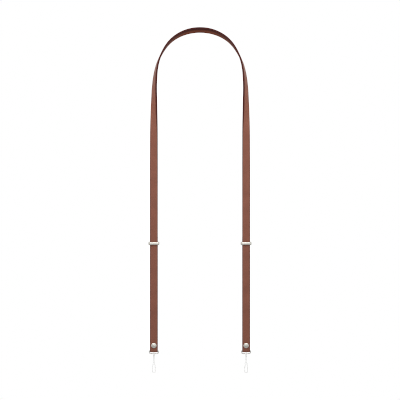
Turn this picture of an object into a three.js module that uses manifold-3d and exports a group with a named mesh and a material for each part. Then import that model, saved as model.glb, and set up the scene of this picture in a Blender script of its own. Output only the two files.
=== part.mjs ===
// A leather neck lanyard for a phone, hanging as it is worn.
// Millimetres, +Z up, +X to the viewer's right, front towards -Y.
// The origin is the middle of the strap's under face at the top of the arch, where the neck is.
import * as THREE from 'three';
import { mergeVertices } from 'three/addons/utils/BufferGeometryUtils.js';
import Module from 'manifold-3d';

const wasm = await Module();
wasm.setup();

// Leather strap
const STRAP_WIDTH = 10;
const STRAP_THICKNESS = 2;
const STRAP_EDGE = 0.45;
const ARCH_EASE_START = 15;
const ARCH_EASE_END = 148;
const LEAN = THREE.MathUtils.degToRad(24);
const LEAN_START = 106;
const LEAN_END = 209;
const TWIST_START = 8;
const TWIST_END = 276;
const ARCH_STATIONS = 60;
const PATH_STEPS = 16;

// Drops below the origin, to the middle of each piece
const KEEPER_DROP = 283;
const STUD_DROP = 415.85;
const FOLD_BOTTOM_DROP = 424.6;

// Folded end of the strap
const FOLD_THICKNESS = 1.2;
const FOLD_STEPS = 8;
const LAYER_GAP = 0.3;
const PINCH_HEIGHT = 5.4;
const PINCH_STEPS = 3;
const TAIL_PAST_KEEPER = 12;

// Wire ring
const WIRE_RADIUS = 0.65;
const WIRE_SIDES = 10;
const WIRE_CLEARANCE = 0.2;
const RING_WIDTH = 13;
const RING_BAR_SPACING = 4;
const RING_UPPER_CORNER = 1.2;
const RING_LOWER_CORNER = 1.9;
const RING_CORNER_STEPS = 4;

// Slide keeper
const KEEPER_WIDTH = 14.3;
const KEEPER_WALL = 1.8;
const KEEPER_HEIGHT = 4.2;
const KEEPER_CLEARANCE = 0.3;
const KEEPER_CORNER = 0.7;
const KEEPER_CORNER_STEPS = 4;

// Domed stud
const STUD_CAP_RADIUS = 3.55;
const STUD_CAP_RIM = 0.45;
const STUD_CAP_DOME = 1.15;
const STUD_BACK_RADIUS = 3.2;
const STUD_BACK_DOME = 0.5;
const STUD_POST_RADIUS = 1.4;
const STUD_DOME_STEPS = 5;
const STUD_SIDES = 28;
const STUD_CLEARANCE = 0.3;

// String loop
const STRING_DIAMETER = 0.9;
const STRING_SIDES = 8;
const STRING_STEPS = 34;
const HITCH_CLEARANCE = 0.1;
const KNOT_TOP = 1.45;
const KNOT_BOTTOM = 3.5;
const KNOT_RADIUS = 1.1;

// Tail tip: distance from the end and share of the strap's full width
const TAIL_TIP = [
  { back: 4.2, width: 1 },
  { back: 2.6, width: 0.93 },
  { back: 1.2, width: 0.74 },
  { back: 0.3, width: 0.45 },
  { back: 0, width: 0.26 },
];

// Half of the keeper's band section, as shares of its wall and of half its height
const KEEPER_SECTION = [
  { out: 0, up: 0.9 },
  { out: 0.14, up: 1 },
  { out: 0.5, up: 0.94 },
  { out: 0.82, up: 0.66 },
  { out: 1, up: 0 },
];

// The knot's barrel, as shares of its radius and of its height
const KNOT_BARREL = [
  { out: 0, up: 0 },
  { out: 0.75, up: 0 },
  { out: 1, up: 0.25 },
  { out: 1, up: 0.75 },
  { out: 0.75, up: 1 },
  { out: 0, up: 1 },
];

// Half of the string's route, from under the knot to the foot of the loop:
// how far it stands out from the middle, and how far it is below the ring's lower bar
const STRING_ROUTE = [
  { out: 0.5, below: 3.8 },
  { out: 0.5, below: 5.2 },
  { out: 0.5, below: 6.8 },
  { out: 0.6, below: 8.5 },
  { out: 0.8, below: 10.2 },
  { out: 1.02, below: 12 },
  { out: 1.25, below: 13.9 },
  { out: 1.48, below: 15.8 },
  { out: 1.67, below: 17.7 },
  { out: 1.77, below: 19.6 },
  { out: 1.77, below: 21.4 },
  { out: 1.74, below: 23.25 },
  { out: 1.57, below: 23.87 },
  { out: 1.19, below: 24.38 },
  { out: 0.66, below: 24.72 },
  { out: 0, below: 24.85 },
];

const leather = new THREE.MeshStandardMaterial({ color: 0x865a4a, roughness: 0.55, metalness: 0 });
const nickel = new THREE.MeshStandardMaterial({ color: 0xd4cec8, roughness: 0.2, metalness: 1 });
const nylon = new THREE.MeshStandardMaterial({ color: 0xf2f2f0, roughness: 0.6, metalness: 0 });

const FRONT = new THREE.Vector3(0, -1, 0);
const RIGHT = new THREE.Vector3(1, 0, 0);
const FOLD_RADIUS = WIRE_RADIUS + WIRE_CLEARANCE + FOLD_THICKNESS;
const FOLD_DROP = FOLD_BOTTOM_DROP - FOLD_RADIUS;
const DOUBLED_THICKNESS = 2 * STRAP_THICKNESS + LAYER_GAP;
const RING_DROP = FOLD_DROP + RING_BAR_SPACING;
const STRING_RADIUS = STRING_DIAMETER / 2;

// How far the strap's path has turned from level at a length from the top of the arch.
function turnAt(along) {
  const bend = Math.PI / (ARCH_EASE_START + ARCH_EASE_END);
  const span = ARCH_EASE_END - ARCH_EASE_START;
  const share = THREE.MathUtils.clamp((along - ARCH_EASE_START) / span, 0, 1);
  const eased = span * (share - share ** 3 + share ** 4 / 2);
  return bend * (Math.min(along, ARCH_EASE_START) + eased);
}

// Directions of the left half of the strap at a length from the top of the arch.
function strapFrame(along) {
  const turn = turnAt(along);
  const lean = LEAN * (1 - THREE.MathUtils.smoothstep(along, LEAN_START, LEAN_END));
  const twist = (Math.PI / 2) * THREE.MathUtils.smoothstep(along, TWIST_START, TWIST_END);
  const upright = new THREE.Vector3(0, Math.sin(lean), Math.cos(lean));
  const archAcross = new THREE.Vector3(0, -Math.cos(lean), Math.sin(lean));
  const archOut = upright.clone().multiplyScalar(Math.cos(turn)).addScaledVector(RIGHT, -Math.sin(turn));
  const tangent = upright.clone().multiplyScalar(-Math.sin(turn)).addScaledVector(RIGHT, -Math.cos(turn));
  const out = archOut.clone().multiplyScalar(Math.cos(twist)).addScaledVector(archAcross, Math.sin(twist));
  const across = archAcross.multiplyScalar(Math.cos(twist)).addScaledVector(archOut, -Math.sin(twist));
  return { tangent, out, across };
}

// One cross-section of the strap.
function station(point, out, across, thickness = STRAP_THICKNESS, width = STRAP_WIDTH) {
  return { point: point.clone(), out, across, thickness, width };
}

// The left half of the arch, from its top to where the leg faces the front.
function archStations() {
  const step = TWIST_END / (ARCH_STATIONS * PATH_STEPS);
  const top = strapFrame(0);
  const point = top.out.clone().multiplyScalar(STRAP_THICKNESS / 2);
  const stations = [station(point, top.out, top.across)];
  for (let i = 1; i <= ARCH_STATIONS * PATH_STEPS; i += 1) {
    point.addScaledVector(strapFrame((i - 0.5) * step).tangent, step);
    if (i % PATH_STEPS === 0) {
      const { out, across } = strapFrame(i * step);
      stations.push(station(point, out, across));
    }
  }
  return stations;
}

const ARCH = archStations();
const LEG = ARCH[ARCH.length - 1].point;
const FRONT_FACE = LEG.y - STRAP_THICKNESS / 2;
const BACK_FACE = FRONT_FACE + DOUBLED_THICKNESS;
const DOUBLED_MIDDLE = (FRONT_FACE + BACK_FACE) / 2;
const RING_DEPTH = FRONT_FACE + FOLD_RADIUS;

// The left end: the leather thins, turns round the ring's upper bar and runs up behind the leg.
function foldStations() {
  const { lerp, smoothstep } = THREE.MathUtils;
  const back = FRONT.clone().negate();
  const leg = [];
  const tail = [];
  for (let i = 0; i <= PINCH_STEPS; i += 1) {
    const share = smoothstep(i / PINCH_STEPS, 0, 1);
    const z = (PINCH_HEIGHT * i) / PINCH_STEPS - FOLD_DROP;
    const thickness = lerp(FOLD_THICKNESS, STRAP_THICKNESS, share);
    const tailFace = lerp(FRONT_FACE + 2 * FOLD_RADIUS, BACK_FACE, share);
    leg.unshift(station(new THREE.Vector3(LEG.x, FRONT_FACE + thickness / 2, z), FRONT, RIGHT, thickness));
    tail.push(station(new THREE.Vector3(LEG.x, tailFace - thickness / 2, z), back, RIGHT, thickness));
  }
  const turn = [];
  for (let i = 1; i < FOLD_STEPS; i += 1) {
    const angle = (Math.PI * i) / FOLD_STEPS;
    const out = new THREE.Vector3(0, -Math.cos(angle), -Math.sin(angle));
    const point = new THREE.Vector3(LEG.x, RING_DEPTH, -FOLD_DROP);
    point.addScaledVector(out, FOLD_RADIUS - FOLD_THICKNESS / 2);
    turn.push(station(point, out, RIGHT, FOLD_THICKNESS));
  }
  for (const row of TAIL_TIP) {
    const z = TAIL_PAST_KEEPER - KEEPER_DROP - row.back;
    const point = new THREE.Vector3(LEG.x, BACK_FACE - STRAP_THICKNESS / 2, z);
    tail.push(station(point, back, RIGHT, STRAP_THICKNESS, row.width * STRAP_WIDTH));
  }
  return [...leg, ...turn, ...tail];
}

// A flat bar's outline with broken edges, as points round one station.
function strapSection({ point, out, across, thickness, width }) {
  const u = width / 2;
  const v = thickness / 2;
  const outline = [
    [u, STRAP_EDGE - v], [u, v - STRAP_EDGE], [u - STRAP_EDGE, v], [STRAP_EDGE - u, v],
    [-u, v - STRAP_EDGE], [-u, STRAP_EDGE - v], [STRAP_EDGE - u, -v], [u - STRAP_EDGE, -v],
  ];
  return outline.map(([a, b]) => point.clone().addScaledVector(across, a).addScaledVector(out, b));
}

function mirrored(row) {
  const flip = new THREE.Vector3(-1, 1, 1);
  const [point, out, across] = [row.point, row.out, row.across].map((v) => v.clone().multiply(flip));
  return { ...row, point, out, across };
}

// A closed skin over rings of points that wind anticlockwise about the way the rings follow.
function loft(rings, closed) {
  const sides = rings[0].length;
  const last = rings.length - 1;
  const index = [];
  for (let i = 0; i < (closed ? rings.length : last); i += 1) {
    const here = i * sides;
    const next = ((i + 1) % rings.length) * sides;
    for (let j = 0; j < sides; j += 1) {
      const k = (j + 1) % sides;
      index.push(here + j, here + k, next + k, here + j, next + k, next + j);
    }
  }
  for (let j = 1; j < sides - 1 && !closed; j += 1) {
    index.push(0, j + 1, j);
    index.push(last * sides, last * sides + j, last * sides + j + 1);
  }
  const geometry = new THREE.BufferGeometry().setFromPoints(rings.flat());
  geometry.setIndex(index);
  geometry.computeVertexNormals();
  return geometry;
}

// Points and outward directions round a rectangle with round corners, anticlockwise.
function roundedRectangle(width, height, upperCorner, lowerCorner, steps) {
  const places = [];
  for (let i = 0; i < 4 * (steps + 1); i += 1) {
    const quarter = Math.floor(i / (steps + 1));
    const angle = (Math.PI / 2) * (quarter + (i % (steps + 1)) / steps);
    const acrossSign = quarter === 0 || quarter === 3 ? 1 : -1;
    const upSign = quarter < 2 ? 1 : -1;
    const corner = quarter < 2 ? upperCorner : lowerCorner;
    const out = new THREE.Vector2(Math.cos(angle), Math.sin(angle));
    const centre = new THREE.Vector2(acrossSign * (width / 2 - corner), upSign * (height / 2 - corner));
    places.push({ point: centre.addScaledVector(out, corner), out });
  }
  return places;
}

// Solids for joining and cutting, and their way back to a geometry.
function toSolid(geometry) {
  const bare = geometry.clone();
  bare.deleteAttribute('normal');
  bare.deleteAttribute('uv');
  const merged = mergeVertices(bare, 1e-5);
  const vertProperties = new Float32Array(merged.attributes.position.array);
  const triVerts = new Uint32Array(merged.index.array);
  return new wasm.Manifold(new wasm.Mesh({ numProp: 3, vertProperties, triVerts }));
}

function toGeometry(solid) {
  const { vertProperties, triVerts } = solid.getMesh();
  const geometry = new THREE.BufferGeometry();
  geometry.setAttribute('position', new THREE.BufferAttribute(vertProperties, 3));
  geometry.setIndex(new THREE.BufferAttribute(triVerts, 1));
  geometry.computeVertexNormals();
  return geometry;
}

// The whole strap, with a post hole through both layers of each end.
function strapGeometry() {
  const left = [...ARCH, ...foldStations()];
  const right = left.slice(1).reverse().map(mirrored);
  let solid = toSolid(loft([...right, ...left].map(strapSection), false));
  const holeRadius = STUD_POST_RADIUS + STUD_CLEARANCE;
  for (const x of [LEG.x, -LEG.x]) {
    const hole = new THREE.CylinderGeometry(holeRadius, holeRadius, 2 * DOUBLED_THICKNESS, STUD_SIDES);
    hole.translate(x, DOUBLED_MIDDLE, -STUD_DROP);
    solid = solid.subtract(toSolid(hole));
  }
  return toGeometry(solid);
}

// A band with a flat inside and a domed outside, bent round the doubled strap.
function keeperGeometry() {
  const inside = KEEPER_WIDTH - 2 * KEEPER_WALL;
  const depth = DOUBLED_THICKNESS + 2 * KEEPER_CLEARANCE;
  const lower = KEEPER_SECTION.slice(0, -1).reverse().map(({ out, up }) => ({ out, up: -up }));
  const outline = roundedRectangle(inside, depth, KEEPER_CORNER, KEEPER_CORNER, KEEPER_CORNER_STEPS);
  const rings = outline.map(({ point, out }) => (
    [...KEEPER_SECTION, ...lower].map((row) => new THREE.Vector3(
      point.x + out.x * row.out * KEEPER_WALL,
      point.y + out.y * row.out * KEEPER_WALL,
      (row.up * KEEPER_HEIGHT) / 2,
    ))
  ));
  return loft(rings, true);
}

// A rectangle of round wire, hanging from the middle of its upper bar.
function ringGeometry() {
  const width = RING_WIDTH - 2 * WIRE_RADIUS;
  const corners = [RING_UPPER_CORNER, RING_LOWER_CORNER];
  const outline = roundedRectangle(width, RING_BAR_SPACING, ...corners, RING_CORNER_STEPS);
  const rings = outline.map(({ point, out }) => (
    Array.from({ length: WIRE_SIDES }, (_, i) => {
      const angle = (2 * Math.PI * i) / WIRE_SIDES;
      const reach = WIRE_RADIUS * Math.cos(angle);
      return new THREE.Vector3(
        point.x + out.x * reach,
        WIRE_RADIUS * Math.sin(angle),
        point.y + out.y * reach - RING_BAR_SPACING / 2,
      );
    })
  ));
  return loft(rings, true);
}

// A low dome's profile from its rim to its crown, or from its crown to its rim.
function domeProfile(radius, rim, dome) {
  return Array.from({ length: STUD_DOME_STEPS + 1 }, (_, i) => {
    const angle = (Math.PI / 2) * (i / STUD_DOME_STEPS);
    return new THREE.Vector2(radius * Math.cos(angle), rim + dome * Math.sin(angle));
  });
}

// A rivet turned about its post: back cap, post and domed front cap.
function studGeometry() {
  const seat = DOUBLED_THICKNESS / 2 + STUD_CLEARANCE;
  const front = domeProfile(STUD_CAP_RADIUS, seat + STUD_CAP_RIM, STUD_CAP_DOME);
  const back = domeProfile(STUD_BACK_RADIUS, seat + STUD_CAP_RIM, STUD_BACK_DOME).reverse();
  const profile = [
    ...back.map((p) => new THREE.Vector2(p.x, -p.y)),
    new THREE.Vector2(STUD_BACK_RADIUS, -seat),
    new THREE.Vector2(STUD_POST_RADIUS, -seat),
    new THREE.Vector2(STUD_POST_RADIUS, seat),
    new THREE.Vector2(STUD_CAP_RADIUS, seat),
    ...front,
  ];
  profile[0].x = 0;
  profile[profile.length - 1].x = 0;
  return new THREE.LatheGeometry(profile, STUD_SIDES);
}

// One turn of string round the ring's lower bar, and the knot that closes it.
function hitchGeometry() {
  const turnRadius = WIRE_RADIUS + HITCH_CLEARANCE + STRING_RADIUS;
  const circle = new THREE.Path().absarc(turnRadius, 0, STRING_RADIUS, 0, 2 * Math.PI);
  const turn = new THREE.LatheGeometry(circle.getSpacedPoints(STRING_SIDES), 2 * STRING_SIDES);
  turn.rotateZ(Math.PI / 2);
  const height = KNOT_BOTTOM - KNOT_TOP;
  const profile = KNOT_BARREL.map(({ out, up }) => (
    new THREE.Vector2(out * KNOT_RADIUS, up * height - KNOT_BOTTOM)
  ));
  const knot = new THREE.LatheGeometry(profile, 2 * STRING_SIDES);
  knot.rotateX(Math.PI / 2);
  return toGeometry(toSolid(turn).add(toSolid(knot)));
}

// The string's tube: down one side from the knot, round the foot of the loop and up the other side.
function stringGeometry() {
  const down = STRING_ROUTE.map(({ out, below }) => new THREE.Vector3(-out, 0, -below));
  const up = down.slice(0, -1).reverse().map((p) => new THREE.Vector3(-p.x, 0, p.z));
  const extrudePath = new THREE.CatmullRomCurve3([...down, ...up]);
  const section = new THREE.Shape();
  for (let i = 0; i < STRING_SIDES; i += 1) {
    const angle = (2 * Math.PI * i) / STRING_SIDES;
    const place = [STRING_RADIUS * Math.cos(angle), STRING_RADIUS * Math.sin(angle)];
    if (i === 0) {
      section.moveTo(...place);
    } else {
      section.lineTo(...place);
    }
  }
  section.closePath();
  return new THREE.ExtrudeGeometry(section, { steps: STRING_STEPS, extrudePath, bevelEnabled: false });
}

const lanyard = new THREE.Group();

function addPiece(name, geometry, material, x, y, z) {
  const mesh = new THREE.Mesh(geometry, material);
  mesh.name = name;
  mesh.position.set(x, y, z);
  lanyard.add(mesh);
  return mesh;
}

addPiece('strap', strapGeometry(), leather, 0, 0, 0);
for (const [name, side] of [['left', 1], ['right', -1]]) {
  const x = LEG.x * side;
  addPiece(`keeper_${name}`, keeperGeometry(), nickel, x, DOUBLED_MIDDLE, -KEEPER_DROP);
  const stud = addPiece(`stud_${name}`, studGeometry(), nickel, x, DOUBLED_MIDDLE, -STUD_DROP);
  stud.rotation.x = Math.PI;
  addPiece(`ring_${name}`, ringGeometry(), nickel, x, RING_DEPTH, -FOLD_DROP);
  addPiece(`hitch_${name}`, hitchGeometry(), nylon, x, RING_DEPTH, -RING_DROP);
  addPiece(`string_${name}`, stringGeometry(), nylon, x, RING_DEPTH, -RING_DROP);
}

export default lanyard;
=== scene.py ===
"""Dresses a leather neck lanyard for a phone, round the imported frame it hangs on.

One swept strap is folded round a wire ring at each end, riveted by a domed stud and held to its leg
by a slide keeper. A loop of nylon string is tied to each ring. Metres, +Z up, front towards -Y.
"""
import math
from collections import namedtuple

import bmesh
import bpy
from bpy.props import FloatProperty, FloatVectorProperty, IntProperty, PointerProperty
from mathutils import Matrix, Vector


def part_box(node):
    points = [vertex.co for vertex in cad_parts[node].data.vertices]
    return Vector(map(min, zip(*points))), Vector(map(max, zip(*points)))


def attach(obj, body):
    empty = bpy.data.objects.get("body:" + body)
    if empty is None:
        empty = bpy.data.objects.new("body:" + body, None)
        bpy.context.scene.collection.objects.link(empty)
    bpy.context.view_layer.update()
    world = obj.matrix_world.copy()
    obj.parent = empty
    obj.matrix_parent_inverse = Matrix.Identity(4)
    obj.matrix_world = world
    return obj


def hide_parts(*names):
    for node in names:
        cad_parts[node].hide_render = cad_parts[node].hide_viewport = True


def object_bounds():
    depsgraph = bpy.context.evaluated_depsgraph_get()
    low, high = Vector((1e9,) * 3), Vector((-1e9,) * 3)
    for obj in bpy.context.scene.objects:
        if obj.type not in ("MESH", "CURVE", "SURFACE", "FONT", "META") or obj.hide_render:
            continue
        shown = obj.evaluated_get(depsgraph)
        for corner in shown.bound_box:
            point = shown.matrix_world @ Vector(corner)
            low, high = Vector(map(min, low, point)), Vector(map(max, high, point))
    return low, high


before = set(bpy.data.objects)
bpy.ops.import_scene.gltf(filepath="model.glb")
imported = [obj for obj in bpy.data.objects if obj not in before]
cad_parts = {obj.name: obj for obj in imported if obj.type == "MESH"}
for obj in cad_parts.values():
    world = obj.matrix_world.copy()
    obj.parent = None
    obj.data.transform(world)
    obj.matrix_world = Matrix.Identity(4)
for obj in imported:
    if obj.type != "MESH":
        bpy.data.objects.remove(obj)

bl_info = {
    "name": "Phone Lanyard",
    "version": (1, 0, 0),
    "blender": (4, 5, 0),
    "location": "3D View > Sidebar > Lanyard",
    "description": "Dresses a leather phone lanyard with nickel fittings and string loops",
    "category": "Add Mesh",
}

MM = 0.001
CAD_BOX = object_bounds()
SIDES = {"left": -1, "right": 1}

RIGHT = Vector((1, 0, 0))
FRONT = Vector((0, -1, 0))
BACK = Vector((0, 1, 0))
UP = Vector((0, 0, 1))

# The strap's path from the top of the arch, as lengths along it
ARCH_EASE_START = 15 * MM
ARCH_EASE_END = 148 * MM
LEAN = math.radians(24)
LEAN_START = 106 * MM
LEAN_END = 209 * MM
TWIST_START = 8 * MM
TWIST_END = 276 * MM
ARCH_ROWS = 138
PATH_STEPS = 8

# Where the leather has taken a set: its ends along the path, extra turn, and how far inside the curve
LeatherSet = namedtuple("LeatherSet", "start end turn inside")
LEATHER_SETS = [
    LeatherSet(start=-48 * MM, end=48 * MM, turn=math.radians(-8), inside=0.62 * MM),
    LeatherSet(start=42 * MM, end=86 * MM, turn=0, inside=0.4 * MM),
    LeatherSet(start=148 * MM, end=210 * MM, turn=math.radians(7), inside=0),
]

# The strap's section, the solid share of the dark edge colour's reach (dye, and painted shade by the
# front edge), and the heights where the painted shade over the arch grows
EDGE_POINTS = 8
SECTION_POINTS = 72
DYE_CORE = 0.2
ARCH_PAINTED_SHADE_START = -0.15
ARCH_PAINTED_SHADE_FULL = -0.105

# The doubled ends of the strap
LEG_STEP = 2.5 * MM
STUD_STEP = 0.5 * MM
STUD_ZONE = 6 * MM
FOLD_ROWS = 20
PINCH_HEIGHT = 5.4 * MM
PINCH_ROWS = 10
TAIL_PAST_KEEPER = 12 * MM
TIP_LENGTH = 4.2 * MM
TIP_ROWS = 10
TIP_DYED_ROWS = 2
TIP_SHARE = 0.14

# The dent round a stud, in shares of its radius, and the hole for its post
DENT_FULL = 0.8
DENT_END = 1.35
POST_CLEARANCE = 0.1 * MM
DRILL_LENGTH = 20 * MM
DRILL_SIDES = 32

# The stud's caps, and how much more than one layer each of them is from the middle
STUD_SIDES = 72
STUD_ROLL = 0.16 * MM
DOME_ROWS = 14
ROLL_ROWS = 4
CLAMP_SLACK = 0.15 * MM

# Sections of the fittings: the powers make the keeper's dome fuller and its ends squarer than a circle
ROUND_POINTS = 24
KEEPER_POINTS = 40
KEEPER_DOME = 0.62
KEEPER_SQUARE = 0.72
BEND_ROWS = 14

# Half of the string's route from inside the knot to the foot of the loop:
# how far it stands out from the middle, and how far it is below the ring's lower bar
STRING_ROUTE = [
    (0.38, 2.5), (0.47, 3.2), (0.5, 3.8), (0.5, 5.2), (0.5, 6.8), (0.6, 8.5), (0.8, 10.2),
    (1.02, 12.0), (1.25, 13.9), (1.48, 15.8), (1.67, 17.7), (1.77, 19.6), (1.77, 21.4),
    (1.74, 23.25), (1.57, 23.87), (1.19, 24.38), (0.66, 24.72), (0.0, 24.85),
]
STRING_STEPS = 12

# Half of the eye that ties the string to the ring, from the knot to above the bar: right, back, up
EYE_ROUTE = [
    (-0.36, 0.0, -2.9), (-0.34, -0.3, -2.1), (-0.26, -0.78, -1.35), (-0.12, -1.12, -0.62),
    (-0.03, -1.2, 0.1), (0.0, -0.88, 0.84), (0.0, 0.0, 1.21),
]
EYE_STEPS = 8

# The whipping round the knot, and how far its head is below the ring's lower bar
KNOT_HALF_WIDTH = 0.84 * MM
KNOT_HALF_DEPTH = 0.7 * MM
KNOT_HEAD = 1.7 * MM
WHIPPING_POINTS = 28

# The studio's lights, the height that they aim at, the camera's reach and the floor
KEY_PLACE = Vector((0, -0.45, 0.4))
KEY_SIZE = (2.0, 0.6)
STRIP_PLACE = Vector((0, -1.6, -0.02))
STRIP_SIZE = (2.4, 0.3)
LIGHT_AIM = -0.15
VIEW_REACH = 20
FLOOR_RADIUS = 0.9
FLOOR_SIDES = 96

# Where the white surroundings start and are full, or end, as parts of a direction of length 1
CARDS_ASIDE = (0.6, 0.9)
CARDS_HIGH = (0.2, 0.45)
BACKDROP_BACK = (0.15, 0.5)

Row = namedtuple("Row", "centre out across width thickness along tip")
VECTOR_FIELDS = ("centre", "out", "across")
NUMBER_FIELDS = ("width", "thickness", "along", "tip")


class StrapSettings(bpy.types.PropertyGroup):
    """Sizes and colours of the leather strap"""

    width: FloatProperty(
        name="Width", description="Width of the strap", default=10 * MM, min=4 * MM, unit="LENGTH")
    thickness: FloatProperty(
        name="Thickness", description="Thickness of one layer", default=2 * MM, min=1 * MM, unit="LENGTH")
    fold_thickness: FloatProperty(
        name="Fold thickness", description="Thickness of the thinned leather round the ring's bar",
        default=1.2 * MM, min=0.8 * MM, unit="LENGTH")
    layer_gap: FloatProperty(
        name="Layer gap", description="Space left between the two layers of a doubled end",
        default=0.06 * MM, min=0, unit="LENGTH")
    edge_radius: FloatProperty(
        name="Edge radius", description="Radius of the rounded, burnished edges",
        default=0.42 * MM, min=0.1 * MM, unit="LENGTH")
    edge_dye: FloatProperty(
        name="Edge dye", description="How far the edges' dye reaches onto the outer face",
        default=0.65 * MM, min=0.1 * MM, unit="LENGTH")
    # Painted shade: the edges' dark colour reaches this much further onto the inner face by the front
    # edge, standing in for the shade under the arch
    flesh_dye: FloatProperty(
        name="Flesh painted shade", description="How much further the front edge's dye reaches onto the inner face",
        default=6 * MM, min=0, unit="LENGTH")
    # Painted shade: the edges' dark colour reaches this much further by the front edge near the top of
    # the arch, standing in for the shade there
    arch_dye: FloatProperty(
        name="Arch painted shade", description="How much further the front edge's dye reaches over the arch",
        default=1.2 * MM, min=0, unit="LENGTH")
    crown: FloatProperty(
        name="Crown", description="How far the outer face swells in its middle",
        default=0.1 * MM, min=0, unit="LENGTH")
    dent: FloatProperty(
        name="Dent", description="How far a stud presses into the leather",
        default=0.16 * MM, min=0, unit="LENGTH")
    colour: FloatVectorProperty(
        name="Grain side", description="Colour of the leather's outer face", subtype="COLOR",
        default=(0.212, 0.0765, 0.0485), min=0, max=1)
    flesh_colour: FloatVectorProperty(
        name="Flesh side", description="Colour of the leather's inner face", subtype="COLOR",
        default=(0.152, 0.036, 0.0155), min=0, max=1)
    # This colour also paints the shade by the front edge over the arch and on the inner face
    edge_colour: FloatVectorProperty(
        name="Edges", description="Colour of the burnished edges", subtype="COLOR",
        default=(0.05, 0.007, 0.004), min=0, max=1)
    grain: FloatProperty(
        name="Grain", description="Width of one pebble of the leather's grain",
        default=0.75 * MM, min=0.1 * MM, unit="LENGTH")


class FittingSettings(bpy.types.PropertyGroup):
    """Sizes and finish of the nickel fittings"""

    wire_radius: FloatProperty(
        name="Wire radius", description="Radius of the ring's wire",
        default=0.65 * MM, min=0.2 * MM, unit="LENGTH")
    upper_corner: FloatProperty(
        name="Upper corner", description="Bend of the ring's upper corners",
        default=1.2 * MM, unit="LENGTH")
    lower_corner: FloatProperty(
        name="Lower corner", description="Bend of the ring's lower corners",
        default=1.9 * MM, unit="LENGTH")
    keeper_wall: FloatProperty(
        name="Keeper wall", description="Thickness of the keeper's band", default=1.8 * MM, unit="LENGTH")
    keeper_corner: FloatProperty(
        name="Keeper corner", description="Bend inside the keeper's corners",
        default=0.7 * MM, unit="LENGTH")
    stud_rim: FloatProperty(
        name="Stud rim", description="Height of the stud's side under its dome",
        default=0.6 * MM, unit="LENGTH")
    stud_back_rim: FloatProperty(
        name="Stud back rim", description="Height of the back cap's side under its dome",
        default=0.5 * MM, unit="LENGTH")
    stud_back_radius: FloatProperty(
        name="Stud back radius", description="Radius of the stud's back cap",
        default=3.2 * MM, unit="LENGTH")
    stud_post_radius: FloatProperty(
        name="Stud post radius", description="Radius of the stud's post", default=1.4 * MM, unit="LENGTH")
    colour: FloatVectorProperty(
        name="Nickel", description="Colour of the polished nickel", subtype="COLOR",
        default=(0.6, 0.585, 0.535), min=0, max=1)
    wire_colour: FloatVectorProperty(
        name="Wire", description="Colour of the rings' brighter wire", subtype="COLOR",
        default=(0.72, 0.715, 0.695), min=0, max=1)
    roughness: FloatProperty(
        name="Roughness", description="Roughness of the polish", subtype="FACTOR",
        default=0.34, min=0, max=1)


class StringSettings(bpy.types.PropertyGroup):
    """Sizes and colour of the string loops"""

    diameter: FloatProperty(
        name="Diameter", description="Diameter of the string",
        default=0.9 * MM, min=0.3 * MM, unit="LENGTH")
    plies: IntProperty(name="Plies", description="Yarns laid up in the string", default=3, min=2, max=6)
    lay: FloatProperty(
        name="Lay", description="Length of one turn of the yarns", default=3.2 * MM, unit="LENGTH")
    groove: FloatProperty(
        name="Groove", description="Depth of the grooves between yarns, as a share of the radius",
        default=0.1, min=0, max=0.4, subtype="FACTOR")
    whipping_radius: FloatProperty(
        name="Whipping radius", description="Radius of the thread that whips the knot",
        default=0.29 * MM, unit="LENGTH")
    whipping_turns: FloatProperty(
        name="Whipping turns", description="Turns of thread round the knot", default=3.0, min=1)
    colour: FloatVectorProperty(
        name="Nylon", description="Colour of the nylon", subtype="COLOR",
        default=(0.85, 0.85, 0.84), min=0, max=1)


class StageSettings(bpy.types.PropertyGroup):
    """Camera, light and floor"""

    distance: FloatProperty(
        name="Camera distance", description="From the camera to the strap's legs",
        default=2.2, unit="LENGTH")
    span: FloatProperty(
        name="Picture width", description="Width of the picture at the strap's legs",
        default=0.5214, unit="LENGTH")
    height: FloatProperty(
        name="Camera height", description="Height of the camera from the top of the arch",
        default=-0.22636, unit="LENGTH")
    floor_drop: FloatProperty(
        name="Floor drop", description="From the lowest point of the lanyard to the floor",
        default=0.18, unit="LENGTH")
    key_power: FloatProperty(
        name="Key light", description="Power of the large softbox above the arch",
        default=10.6, unit="POWER")
    strip_power: FloatProperty(
        name="Strip light", description="Power of the wide strip in front", default=6.8, unit="POWER")
    sky: FloatProperty(name="Above", description="Brightness of the surroundings overhead", default=0.1)
    horizon: FloatProperty(name="Around", description="Brightness all round at level", default=0.48)
    ground: FloatProperty(name="Below", description="Brightness of the surroundings below", default=0.66)
    sides: FloatProperty(name="Sides", description="Brightness of the white side cards", default=1.0)
    backdrop: FloatProperty(name="Behind", description="Brightness of the white backdrop", default=0.9)


def middle(node):
    """The middle of a CAD node's box."""
    low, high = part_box(node)
    return (low + high) / 2


def smooth(value, low, high):
    """Eased share of the way from low to high."""
    share = min(max((value - low) / (high - low), 0), 1)
    return share * share * (3 - 2 * share)


def mix(a, b, share):
    """The value between a and b."""
    return a + (b - a) * share


def steps(start, end, spacing):
    """Values from start to just before end, about spacing apart."""
    count = max(1, round(abs(end - start) / spacing))
    return [mix(start, end, i / count) for i in range(count)]


def spline(points, per_span):
    """Points close together on a centripetal curve through the given points."""
    ends = [2 * points[0] - points[1], *points, 2 * points[-1] - points[-2]]
    line = []
    for before, start, end, after in zip(ends, ends[1:], ends[2:], ends[3:]):
        ways = (start - before, end - start, after - end)
        first, own, last = [math.sqrt(way.length) for way in ways]
        leave = ways[0] / first - (end - before) / (first + own) + ways[1] / own
        arrive = ways[1] / own - (after - start) / (own + last) + ways[2] / last
        leave, arrive = leave * own, arrive * own
        bend = -3 * start + 3 * end - 2 * leave - arrive
        swing = 2 * start - 2 * end + leave + arrive
        for i in range(per_span):
            t = i / per_span
            line.append(start + leave * t + bend * t * t + swing * t ** 3)
    line.append(points[-1])
    return line


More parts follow.
